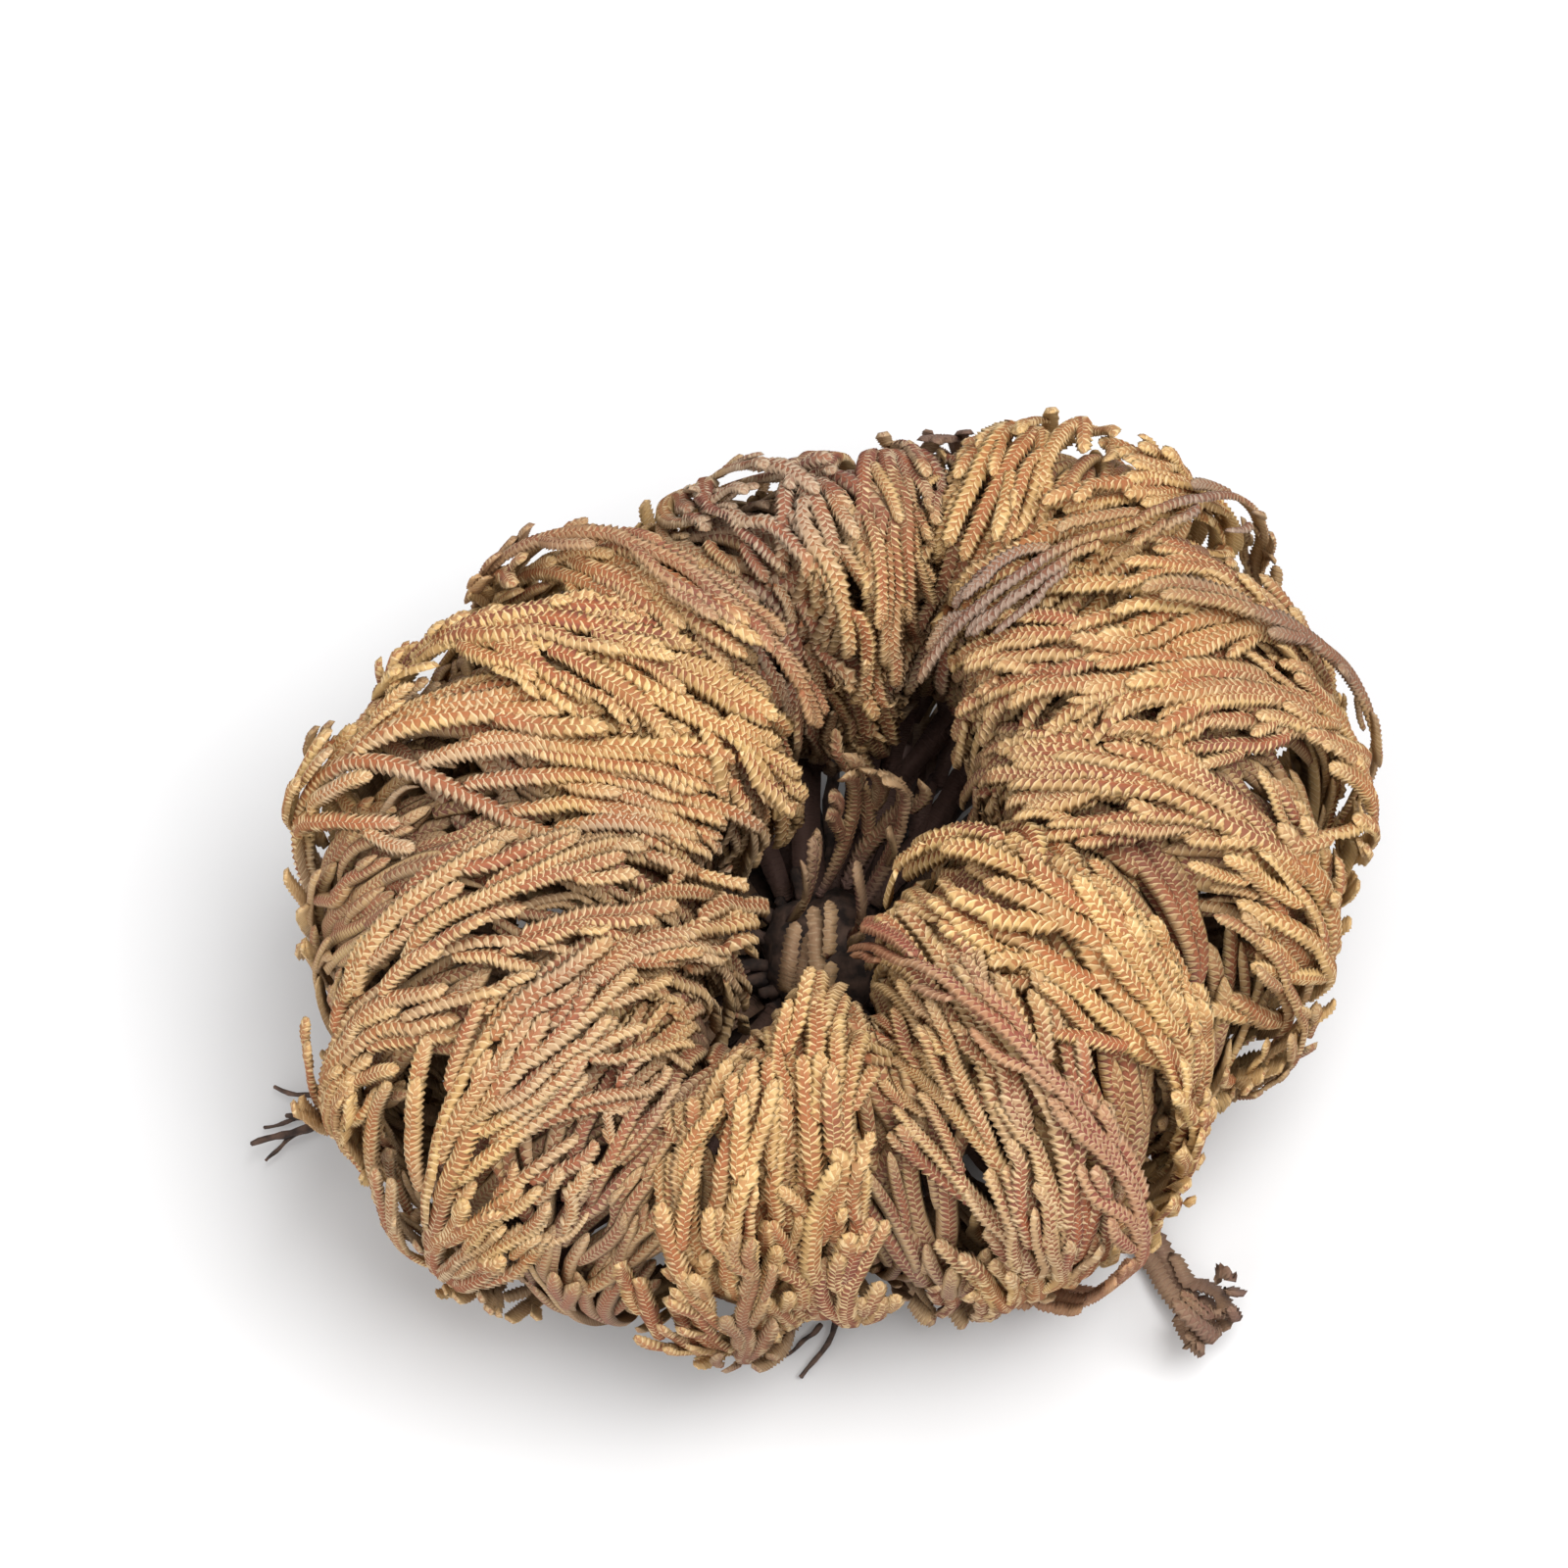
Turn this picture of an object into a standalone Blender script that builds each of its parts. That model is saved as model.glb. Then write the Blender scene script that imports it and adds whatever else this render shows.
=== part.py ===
"""Dried rose of Jericho: a resurrection plant that has curled up into a ball.

A short woody crown stands on a small flat pad of roots. From it grow layers of
flat, fern-like fronds. Each one leaves the crown low down, runs outward under
the ball, climbs its side, bends in over the top and dives into the long hollow
in the middle. The layers lie inside each other like the skins of an onion.

Lengths are in metres, +Z is up, and the origin is the middle of the flat spot
that the plant rests on. The camera side of the ball is -Y.
"""

import math
from collections import namedtuple

import bmesh
import bpy
from mathutils import Vector

MM = 0.001

# The ball: radius of its outline in mm every 30 degrees from +X, its height, and its higher side
BALL_RADII = (61.5, 61.0, 59.5, 48.0, 50.5, 52.5, 63.0, 65.0, 65.0, 53.0, 58.0, 54.5)
BALL_HEIGHT = 60.0 * MM
FLOOR_GAP = 3.2 * MM
HIGH_SIDE_AZIMUTH = 62.0
HIGH_SIDE_RISE = 2.5 * MM

# The long hollow at the top, where the frond tips meet
HOLLOW_CENTRE = Vector((2.0 * MM, -2.5 * MM))
HOLLOW_HALF_LENGTH = 17.0 * MM
HOLLOW_HALF_WIDTH = 2.5 * MM
HOLLOW_AZIMUTH = 66.0

# The lobes are fuller than round where they bend in over the hollow: 1 would be round
SHOULDER_POWER = 0.72

# Folds between the lobes of the ball: azimuth at the side and at the top, half width in degrees
FOLDS = ((75, 70, 10), (123, 120, 11), (190, 176, 9), (241, 243, 11), (284, 290, 9), (330, 348, 10))
FOLD_DEPTH = 2.8 * MM

# The crown and its pad of roots
CROWN_RADIUS = 7.4 * MM
CROWN_TOP = 19.0 * MM
ROOT_PAD_RADIUS = 13.0 * MM
ROOT_PAD_HEIGHT = 1.6 * MM
CROWN_SIDES = 18
FROND_START_RADIUS = 8.3 * MM

# A frond is a thin strip with toothed edges
FROND_THICKNESS = 1.7 * MM
TOOTH_LENGTH = 16.6 * MM
NOTCH_SHARE = 0.68
SIDE_GAP = 0.45 * MM
NARROWEST = 0.6 * MM
STALK_HALF_WIDTH = 1.2 * MM
STALK_SPREAD = 0.35
SWELL_START = 0.16
SWELL_RANGE = 0.72
BOTTOM_ANGLE = -90.0
TIP_CLEARANCE = 8.0
FINE_STEPS = 200
TINY = 1e-9

# A frond is its azimuth at the ball's side, how far round its tip swings, and the angle of
# the ball's section where it ends: 0 is the side, 90 the top and 180 the hollow's wall.
Frond = namedtuple("Frond", "azimuth swing end_angle")
Layer = namedtuple("Layer", "name depth start_height half_width fronds")

OLD_FRONDS = (
    Frond(14, 14, 84),
    Frond(36, 4, 150),
    Frond(75, 4, 58),
    Frond(139, -8, 152),
    Frond(168, 6, 26),
    Frond(262, 4, 30),
    Frond(304, -8, 148),
    Frond(338, 6, 48),
)
OUTER_FRONDS = (
    Frond(2, 10, 150),
    Frond(23, 6, 138),
    Frond(44, 3, 152),
    Frond(62, 0, 118),
    Frond(87, -6, 160),
    Frond(108, -8, 166),
    Frond(138, -4, 112),
    Frond(156, -2, 160),
    Frond(176, -4, 154),
    Frond(203, 0, 162),
    Frond(225, 4, 138),
    Frond(257, -2, 106),
    Frond(272, 2, 158),
    Frond(296, 6, 152),
    Frond(316, 12, 166),
    Frond(342, 14, 130),
)
MIDDLE_FRONDS = (
    Frond(12, 8, 176),
    Frond(33, 4, 168),
    Frond(54, -2, 150),
    Frond(75, -6, 172),
    Frond(98, -8, 182),
    Frond(121, -4, 187),
    Frond(147, -4, 178),
    Frond(167, -4, 176),
    Frond(190, 0, 168),
    Frond(214, 4, 184),
    Frond(239, 2, 150),
    Frond(264, 0, 172),
    Frond(285, 4, 180),
    Frond(307, 10, 186),
    Frond(330, 14, 172),
    Frond(352, 10, 160),
)
INNER_FRONDS = (
    Frond(30, 4, 196),
    Frond(72, -4, 200),
    Frond(108, -2, 202),
    Frond(150, -4, 204),
    Frond(192, 0, 198),
    Frond(232, 4, 200),
    Frond(272, 2, 194),
    Frond(318, 10, 204),
    Frond(356, 8, 192),
)

# The layers from the outside in, each with its depth under the ball's surface, the
# height where it leaves the crown, and the half width of its fronds
LAYERS = (
    Layer("old_frond", 0.5 * MM, 5.0 * MM, 5.0 * MM, OLD_FRONDS),
    Layer("outer_frond", 3.1 * MM, 7.9 * MM, 9.5 * MM, OUTER_FRONDS),
    Layer("middle_frond", 6.2 * MM, 10.8 * MM, 9.0 * MM, MIDDLE_FRONDS),
    Layer("inner_frond", 9.3 * MM, 13.7 * MM, 7.0 * MM, INNER_FRONDS),
)

# Young fronds curled like fists in the hollow: azimuths round it, the oval that they stand
# on, and the path of each as a share of that oval and a height in mm
HEART_AZIMUTHS = (12, 66, 124, 172, 246, 326)
HEART_HALF_LENGTH = 13.0 * MM
HEART_HALF_BREADTH = 3.6 * MM
HEART_PATH = ((0.0, 20.6), (0.35, 23.5), (0.75, 27.5), (1.0, 32.0), (1.0, 37.0), (0.8, 40.0), (0.62, 38.5))
HEART_HALF_WIDTH = 2.6 * MM
HEART_START_RADIUS = 3.4 * MM

# Roots that run out over the floor from the pad, and a torn frond that hangs on to it:
# points in mm, then the radius at each end in mm
Twig = namedtuple("Twig", "points start_radius end_radius")
TWIGS = {
    "root_bundle_left": Twig(
        ((-13.1, -3.3, 1.3), (-33, -9, 1.3), (-50, -14, 1.4), (-61, -18, 2.6), (-64, -20, 4.4)), 1.2, 0.7
    ),
    "root_bundle_front": Twig(((4.0, -12.9, 1.3), (5, -27, 1.2), (2, -38, 1.1), (-2, -47, 1.0)), 1.1, 0.6),
    "root_bundle_back": Twig(((5.7, 12.2, 1.3), (12, 27, 1.2), (14, 40, 1.1)), 1.1, 0.6),
    "broken_frond": Twig(
        ((10.7, -8.3, 1.4), (25, -20, 1.4), (35, -31, 1.8), (42, -40, 3.0), (45, -44, 4.6)), 1.2, 1.0
    ),
}

# Each finish: colour, roughness
FINISHES = {
    "outer_frond": ((0.56, 0.36, 0.19, 1.0), 0.85),
    "middle_frond": ((0.52, 0.33, 0.16, 1.0), 0.85),
    "inner_frond": ((0.38, 0.21, 0.11, 1.0), 0.85),
    "old_frond": ((0.22, 0.13, 0.10, 1.0), 0.9),
    "heart_frond": ((0.44, 0.32, 0.14, 1.0), 0.85),
    "crown": ((0.07, 0.04, 0.025, 1.0), 0.95),
    "root_bundle": ((0.06, 0.035, 0.025, 1.0), 0.95),
    "broken_frond": ((0.12, 0.07, 0.05, 1.0), 0.9),
}


def clear_scene():
    for obj in list(bpy.data.objects):
        bpy.data.objects.remove(obj)


def finish_for(name):
    """The material of the group that a node's name starts with, made once."""
    group = next(key for key in FINISHES if name.startswith(key))
    material = bpy.data.materials.get(group)
    if material is None:
        material = bpy.data.materials.new(group)
        material.use_nodes = True
        shader = material.node_tree.nodes["Principled BSDF"]
        colour, roughness = FINISHES[group]
        shader.inputs["Base Color"].default_value = colour
        shader.inputs["Roughness"].default_value = roughness
        shader.inputs["Metallic"].default_value = 0.0
    return material


def wrapped(azimuth):
    """The same direction between -180 and 180 degrees."""
    return (azimuth + 180.0) % 360.0 - 180.0


def direction(azimuth):
    turned = math.radians(azimuth)
    return Vector((math.cos(turned), math.sin(turned)))


def eased(share):
    share = min(1.0, max(0.0, share))
    return share * share * (3.0 - 2.0 * share)


def ball_radius(azimuth):
    """Radius of the ball's outline, a smooth curve through BALL_RADII."""
    step = 360.0 / len(BALL_RADII)
    place = (azimuth % 360.0) / step
    first = int(place)
    share = place - first
    before, start, end, after = (BALL_RADII[(first + k) % len(BALL_RADII)] for k in (-1, 0, 1, 2))
    slope_in = (end - before) / 2
    slope_out = (after - start) / 2
    cube, square = share**3, share**2
    return MM * (
        (2 * cube - 3 * square + 1) * start
        + (cube - 2 * square + share) * slope_in
        + (3 * square - 2 * cube) * end
        + (cube - square) * slope_out
    )


def oval_point(azimuth, half_length, half_width):
    """Plan point on an oval that lies along the hollow."""
    along = direction(HOLLOW_AZIMUTH)
    across = Vector((-along.y, along.x))
    local = direction(azimuth - HOLLOW_AZIMUTH)
    return HOLLOW_CENTRE + along * local.x * half_length + across * local.y * half_width


def fold_depth(azimuth, angle):
    """How much deeper the surface lies in the folds between the lobes."""
    climb = eased((angle + 50.0) / 90.0)
    over = eased(angle / 120.0)
    depth = 0.0
    for side, top, half_width in FOLDS:
        away = wrapped(azimuth - side - (top - side) * over) / half_width
        depth += FOLD_DEPTH * math.exp(-away * away)
    return depth * climb


def ball_point(azimuth, angle, depth):
    """A point of the ball's wall: azimuth round it, angle round its section, depth under its surface."""
    outer = ball_radius(azimuth) * direction(azimuth)
    inner = oval_point(azimuth, HOLLOW_HALF_LENGTH, HOLLOW_HALF_WIDTH)
    sunk = depth + fold_depth(azimuth, angle)
    rise = HIGH_SIDE_RISE * math.cos(math.radians(azimuth - HIGH_SIDE_AZIMUTH))
    half_height = (BALL_HEIGHT + rise) / 2
    reach = math.cos(math.radians(angle))
    climb = math.sin(math.radians(angle))
    if 90.0 < angle < 180.0:
        reach = -abs(reach) ** SHOULDER_POWER
        climb = climb**SHOULDER_POWER
    plan = (outer + inner) / 2
    plan += (outer - inner).normalized() * ((outer - inner).length / 2 - sunk) * reach
    height = FLOOR_GAP + half_height + (half_height - sunk) * climb
    return Vector((plan.x, plan.y, height))


def angle_at(frond, place):
    """The section angle at a place along a frond: 0 is the crown, 1 the ball's bottom and 2 the tip."""
    return BOTTOM_ANGLE + (frond.end_angle - BOTTOM_ANGLE) * max(0.0, place - 1.0)


def azimuth_at(frond, angle):
    return frond.azimuth + frond.swing * eased(angle / 180.0)


def layer_point(layer, azimuth, angle, place):
    """A point of a layer: found by place from the crown to the ball's bottom, and by angle after that."""
    low = ball_point(azimuth, angle, layer.depth)
    if place >= 1.0:
        return low
    start = FROND_START_RADIUS * direction(azimuth)
    plan = start.lerp(Vector((low.x, low.y)), place)
    return Vector((plan.x, plan.y, layer.start_height + (low.z - layer.start_height) * eased(place)))


def frond_point(layer, frond, place, sideways=0.0):
    """A point of a frond, sideways degrees of azimuth off its middle line."""
    angle = angle_at(frond, place)
    return layer_point(layer, azimuth_at(frond, angle) + sideways, angle, place)


def stations(layer, frond):
    """Places along a frond for its teeth, evenly spaced along its length."""
    fine = [2 * k / FINE_STEPS for k in range(FINE_STEPS + 1)]
    points = [frond_point(layer, frond, place) for place in fine]
    travelled = [0.0]
    for before, after in zip(points, points[1:]):
        travelled.append(travelled[-1] + (after - before).length)
    count = 2 * round(travelled[-1] / TOOTH_LENGTH)
    wanted = [travelled[-1] * k / count for k in range(count + 1)]
    return [fine[next(i for i, far in enumerate(travelled) if far >= goal - TINY)] for goal in wanted]


def room_beside(layer, frond, angle):
    """Half of the turn, in degrees, to the nearest frond of the layer that reaches this angle."""
    here = azimuth_at(frond, angle)
    others = [other for other in layer.fronds if other is not frond]
    beside = [other for other in others if other.end_angle > angle - TIP_CLEARANCE]
    return min((abs(wrapped(azimuth_at(other, angle) - here)) for other in beside), default=90.0) / 2


def half_turn(layer, frond, place, is_notch):
    """Half of a frond's width in degrees: a stalk, then widest on the shoulder, then a blunt tip."""
    angle = angle_at(frond, place)
    left = frond_point(layer, frond, place, -0.5)
    right = frond_point(layer, frond, place, 0.5)
    a_degree = (right - left).length
    if place < 1.0:
        width = STALK_HALF_WIDTH + (STALK_SPREAD * layer.half_width - STALK_HALF_WIDTH) * place
    else:
        width = layer.half_width * math.sin(math.pi * (SWELL_START + SWELL_RANGE * (place - 1.0)))
    width = min(width, room_beside(layer, frond, angle) * a_degree - SIDE_GAP)
    if is_notch and place > 1.0:
        width *= NOTCH_SHARE
    return max(width, NARROWEST) / a_degree


def strip_object(name, rows):
    """A strip through rows of three points, thickened to a solid."""
    mesh = bpy.data.meshes.new(name)
    grid = bmesh.new()
    bmesh.ops.create_grid(grid, x_segments=2, y_segments=len(rows) - 1, size=0.5)
    across = sorted(grid.verts, key=lambda v: (round(v.co.y, 6), v.co.x))
    for vert, point in zip(across, (point for row in rows for point in row)):
        vert.co = point
    grid.to_mesh(mesh)
    grid.free()
    strip = bpy.data.objects.new(name, mesh)
    thick = strip.modifiers.new("thickness", "SOLIDIFY")
    thick.thickness = FROND_THICKNESS
    thick.offset = 0.0
    strip.data.materials.append(finish_for(name))
    return strip


def frond_object(layer, number, frond):
    rows = []
    for k, place in enumerate(stations(layer, frond)):
        turn = half_turn(layer, frond, place, k % 2 == 1)
        rows.append([frond_point(layer, frond, place, side * turn) for side in (-1, 0, 1)])
    return strip_object(f"{layer.name}_{number:02d}", rows)


def heart_object(number, azimuth):
    """A young frond that rises from the crown's top and curls in over the hollow."""
    start = HEART_START_RADIUS * direction(azimuth)
    full = oval_point(azimuth, HEART_HALF_LENGTH, HEART_HALF_BREADTH)
    around = (oval_point(azimuth + 1.0, HEART_HALF_LENGTH, HEART_HALF_BREADTH) - full).normalized()
    across = Vector((around.x, around.y, 0.0))
    rows = []
    for k, (share, height) in enumerate(HEART_PATH):
        plan = start.lerp(full, share)
        middle = Vector((plan.x, plan.y, height * MM))
        swell = math.sin(math.pi * (SWELL_START + SWELL_RANGE * k / (len(HEART_PATH) - 1)))
        width = HEART_HALF_WIDTH * swell * (0.3 + 0.7 * eased(share))
        rows.append([middle + side * width * across for side in (-1, 0, 1)])
    return strip_object(f"heart_frond_{number}", rows)


def crown_object():
    """The short stem on its pad of roots: a lumpy turned solid with a flat underside."""
    profile = (
        (0.0, CROWN_TOP),
        (0.45 * CROWN_RADIUS, CROWN_TOP - 0.4 * MM),
        (0.82 * CROWN_RADIUS, CROWN_TOP - 2.2 * MM),
        (CROWN_RADIUS, CROWN_TOP - 5.5 * MM),
        (0.93 * CROWN_RADIUS, 8.0 * MM),
        (CROWN_RADIUS, 3.6 * MM),
        (0.7 * ROOT_PAD_RADIUS, ROOT_PAD_HEIGHT + 0.3 * MM),
        (0.95 * ROOT_PAD_RADIUS, ROOT_PAD_HEIGHT),
        (ROOT_PAD_RADIUS, 0.5 * ROOT_PAD_HEIGHT),
        (0.96 * ROOT_PAD_RADIUS, 0.0),
        (0.0, 0.0),
    )
    mesh = bpy.data.meshes.new("crown")
    mesh.from_pydata([(r, 0.0, z) for r, z in profile], [(k, k + 1) for k in range(len(profile) - 1)], [])
    crown = bpy.data.objects.new("crown", mesh)
    turned = crown.modifiers.new("turned", "SCREW")
    turned.steps = CROWN_SIDES
    turned.render_steps = CROWN_SIDES
    turned.use_merge_vertices = True
    turned.merge_threshold = 0.00005
    crown.data.materials.append(finish_for("crown"))
    return crown


def twig_object(name, points, start_radius, end_radius):
    """A round tapered twig along a smooth curve."""
    curve = bpy.data.curves.new(name, "CURVE")
    curve.dimensions = "3D"
    curve.bevel_depth = 1.0 * MM
    curve.bevel_resolution = 1
    curve.use_fill_caps = True
    line = curve.splines.new("POLY")
    line.points.add(len(points) - 1)
    for k, point in enumerate(points):
        share = k / (len(points) - 1)
        line.points[k].co = (point[0] * MM, point[1] * MM, point[2] * MM, 1.0)
        line.points[k].radius = start_radius + (end_radius - start_radius) * share
    twig = bpy.data.objects.new(name, curve)
    twig.data.materials.append(finish_for(name))
    return twig


def build():
    clear_scene()
    plant = bpy.data.collections.new("rose_of_jericho")
    bpy.context.scene.collection.children.link(plant)
    made = [crown_object()]
    for layer in LAYERS:
        made += [frond_object(layer, number, frond) for number, frond in enumerate(layer.fronds, 1)]
    made += [heart_object(number, azimuth) for number, azimuth in enumerate(HEART_AZIMUTHS, 1)]
    made += [twig_object(name, *twig) for name, twig in TWIGS.items()]
    for obj in made:
        plant.objects.link(obj)


build()
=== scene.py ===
"""Looks of the dried rose of Jericho.

Each plain frond strip is replaced by a fan of scaly strands that fork towards
their tips. A strand is a flattened tube whose surface steps up and down in two
rows of overlapping scale leaves, and the wine-red wedges between the leaves are
drawn by the material from where a point lies on its leaf.

The fans are laid out flat, in millimetres along and across a frond, and then
bent on to the same ball of nested layers as the solids.
"""

import math
from collections import namedtuple

import bpy
import numpy as np
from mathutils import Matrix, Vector


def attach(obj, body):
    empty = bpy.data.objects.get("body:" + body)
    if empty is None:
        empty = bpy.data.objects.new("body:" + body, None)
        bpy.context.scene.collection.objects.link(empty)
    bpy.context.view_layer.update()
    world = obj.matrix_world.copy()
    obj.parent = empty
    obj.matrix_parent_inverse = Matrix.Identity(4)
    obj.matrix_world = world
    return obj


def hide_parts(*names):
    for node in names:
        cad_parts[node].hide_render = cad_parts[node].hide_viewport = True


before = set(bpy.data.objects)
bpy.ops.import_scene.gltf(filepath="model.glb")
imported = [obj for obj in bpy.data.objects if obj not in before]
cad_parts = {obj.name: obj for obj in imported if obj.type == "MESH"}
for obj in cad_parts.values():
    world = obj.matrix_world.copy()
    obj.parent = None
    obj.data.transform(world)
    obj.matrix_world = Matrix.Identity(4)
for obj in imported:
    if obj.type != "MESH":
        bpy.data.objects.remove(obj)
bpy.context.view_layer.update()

MM = 0.001

# The ball: the same values, in mm, as the solids are built from, but with deeper folds
# and fans that are wide from their start
BALL_RADII = np.array((61.5, 61.0, 59.5, 48.0, 50.5, 52.5, 63.0, 65.0, 65.0, 53.0, 58.0, 54.5))
BALL_HEIGHT = 60.0
FLOOR_GAP = 3.2
HIGH_SIDE_AZIMUTH = 62.0
HIGH_SIDE_RISE = 2.5
HOLLOW_CENTRE = np.array((2.0, -2.5))
HOLLOW_HALF_LENGTH = 17.0
HOLLOW_HALF_WIDTH = 2.5
HOLLOW_AZIMUTH = 66.0
SHOULDER_POWER = 0.72
FOLDS = ((75, 70, 10), (123, 120, 11), (190, 176, 9), (241, 243, 11), (284, 290, 9), (330, 348, 10))
FOLD_DEPTH = 2.8
EXTRA_FOLD_DEPTH = 2.6
FROND_START_RADIUS = 8.3
BOTTOM_ANGLE = -90.0
STALK_HALF_WIDTH = 1.2
BASE_SPREAD = 0.72
SWELL_START = 0.16
SWELL_RANGE = 0.72
LEAST_HALF_WIDTH = 1.8

# A place along a frond is 0 at the crown, 1 where it starts up the wall and 2 at its tip
LAST_PLACE = 2.2
PLACE_COUNT = 441

Frond = namedtuple("Frond", "azimuth swing end_angle")
Layer = namedtuple("Layer", "name depth start_height half_width slot fronds")


def frond_rows(*rows):
    return tuple(Frond(*row) for row in rows)


LAYERS = (
    Layer("old_frond", 0.5, 5.0, 5.0, "old_fronds", frond_rows(
        (14, 14, 84), (36, 4, 150), (75, 4, 58), (139, -8, 152),
        (168, 6, 26), (262, 4, 30), (304, -8, 148), (338, 6, 48),
    )),
    Layer("outer_frond", 3.1, 7.9, 9.5, "outer_fronds", frond_rows(
        (2, 10, 150), (23, 6, 138), (44, 3, 152), (62, 0, 118),
        (87, -6, 160), (108, -8, 166), (138, -4, 112), (156, -2, 160),
        (176, -4, 154), (203, 0, 162), (225, 4, 138), (257, -2, 106),
        (272, 2, 158), (296, 6, 152), (316, 12, 166), (342, 14, 130),
    )),
    Layer("middle_frond", 6.2, 10.8, 9.0, "middle_fronds", frond_rows(
        (12, 8, 176), (33, 4, 168), (54, -2, 150), (75, -6, 172),
        (98, -8, 182), (121, -4, 187), (147, -4, 178), (167, -4, 176),
        (190, 0, 168), (214, 4, 184), (239, 2, 150), (264, 0, 172),
        (285, 4, 180), (307, 10, 186), (330, 14, 172), (352, 10, 160),
    )),
    Layer("inner_frond", 9.3, 13.7, 7.0, "inner_fronds", frond_rows(
        (30, 4, 196), (72, -4, 200), (108, -2, 202), (150, -4, 204),
        (192, 0, 198), (232, 4, 200), (272, 2, 194), (318, 10, 204),
        (356, 8, 192),
    )),
)

# The young fronds in the hollow and the broken frond: as the solids have them, but wider, with
# young tips that go on upward and a broken tip that curls back
HEART_AZIMUTHS = (12, 66, 124, 172, 246, 326)
HEART_HALF_LENGTH = 13.0
HEART_HALF_BREADTH = 3.6
HEART_PATH = (
    (0.0, 20.6), (0.35, 23.5), (0.75, 27.5), (0.98, 32.0), (0.98, 36.5), (0.80, 40.5), (0.60, 42.0),
)
HEART_START_RADIUS = 3.4
HEART_HALF_WIDTH = 4.6
HEART_STRAND_WIDTH = 2.2
BROKEN_PATH = (
    (10.7, -8.3, 1.4), (25, -20, 1.4), (35, -31, 1.8), (40.5, -39, 2.8),
    (42.5, -43, 4.6), (42.5, -44.5, 7.0), (41, -43.5, 9.5), (38, -41.5, 10.5),
)
BROKEN_ACROSS = (0.62, 0.78, 0.0)
BROKEN_HALF_WIDTH = 2.8
BROKEN_STRAND_WIDTH = 2.4

# Thin roots by bundle: start, end, and the radius at each, all in mm
ROOT_RUNS = {
    "root_bundle_left": (
        ((-11.5, -3.0, 1.2), (-50.0, -13.5, 1.6), 1.0, 0.6),
        ((-49.5, -13.3, 1.6), (-64.0, -19.5, 4.0), 0.75, 0.35),
        ((-50.0, -13.0, 1.6), (-60.5, -15.0, 2.4), 0.6, 0.3),
        ((-47.0, -12.5, 1.5), (-62.0, -11.0, 2.0), 0.55, 0.25),
        ((-54.0, -14.8, 2.4), (-63.0, -15.8, 1.4), 0.45, 0.2),
        ((-57.0, -16.4, 2.9), (-62.5, -20.5, 2.2), 0.4, 0.2),
        ((-30.0, -8.0, 1.3), (-47.0, -21.0, 0.9), 0.6, 0.25),
    ),
    "root_bundle_front": (
        ((3.6, -11.5, 1.2), (4.0, -28.0, 1.2), 0.9, 0.6),
        ((4.0, -27.5, 1.2), (-2.5, -46.5, 0.9), 0.6, 0.25),
        ((2.0, -31.0, 1.2), (-10.5, -43.6, 0.9), 0.5, 0.2),
        ((-4.0, -38.0, 1.0), (-13.6, -40.2, 0.8), 0.4, 0.18),
        ((2.5, -30.0, 1.2), (-19.0, -39.4, 0.8), 0.45, 0.2),
        ((-0.6, -40.0, 1.0), (-6.4, -44.6, 0.8), 0.35, 0.16),
    ),
    "root_bundle_back": (
        ((5.0, 11.0, 1.2), (12.5, 29.0, 1.2), 0.9, 0.6),
        ((12.3, 28.5, 1.2), (14.0, 39.5, 0.9), 0.6, 0.25),
        ((10.0, 23.0, 1.2), (20.0, 34.0, 0.9), 0.5, 0.2),
    ),
}

# How the strands look from lobe to lobe of the ball: azimuth, strand width in mm,
# and from 0 to 1 how red, how grey and how aged they are
Lobe = namedtuple("Lobe", "azimuth strand_width red grey aged")
LOBES = tuple(Lobe(*row) for row in (
    (2, 2.7, 0.50, 0.10, 0.12), (23, 2.7, 0.35, 0.10, 0.10), (44, 2.6, 0.30, 0.05, 0.00),
    (62, 2.5, 0.25, 0.10, 0.05), (87, 2.4, 0.80, 0.55, 0.22), (108, 2.5, 0.55, 0.75, 0.20),
    (138, 2.7, 0.55, 0.15, 0.10), (156, 3.0, 0.95, 0.05, 0.00), (176, 2.7, 0.35, 0.55, 0.04),
    (203, 2.6, 0.35, 0.25, 0.08), (225, 2.4, 0.35, 0.40, 0.14), (257, 2.6, 0.45, 0.15, 0.12),
    (272, 2.8, 0.65, 0.15, 0.12), (296, 2.7, 0.75, 0.30, 0.14), (316, 3.2, 0.50, 0.00, 0.00),
    (342, 2.8, 0.55, 0.10, 0.10),
))

# A strand's section, as points (across, height) in shares of half its width with the share
# of the leaf step that each takes, from the crest round to the right and back
COLUMNS = (
    (0.00, 0.62, 0.30),
    (0.60, 0.50, 0.90),
    (1.00, -0.14, 1.00),
    (-1.00, -0.14, 1.00),
    (-0.60, 0.50, 0.90),
)
# How high the leaves step, in widths of the strand; and in leaf lengths how far they slant, where
# the recess behind a lip lies, and how far on the crest and the right and left row start
LEAF_STEP = 0.085
LEAF_SLANT = 0.85
RECESS_PHASE = 0.25
SIDE_SHIFTS = {0: 0.25, 1: 0.0, -1: 0.5}
# A leaf's length in mm, with what each mm of the strand's width adds to it
PITCH_BASE = 0.48
PITCH_PER_WIDTH = 0.13
# How many leaf lengths apart the rings of a strand lie in half sight and where it is hidden
PLAIN_PITCHES = 2.0
COARSE_PITCHES = 5.0
# How much a strand tapers, how many half widths its round tip takes, how blunt that is, how far
# strands roll over at a fan's edge, and how many mm of a tip curl and are pale
TAPER = 0.24
TIP_HALF_WIDTHS = 3.0
BLUNTNESS = 2.4
EDGE_ROLL = 0.35
CURL_LENGTH = 7.0
PALE_LENGTH = 6.0
# The gap between strips of the texture layer, in mm
STRIP_GAP = 0.3

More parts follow.
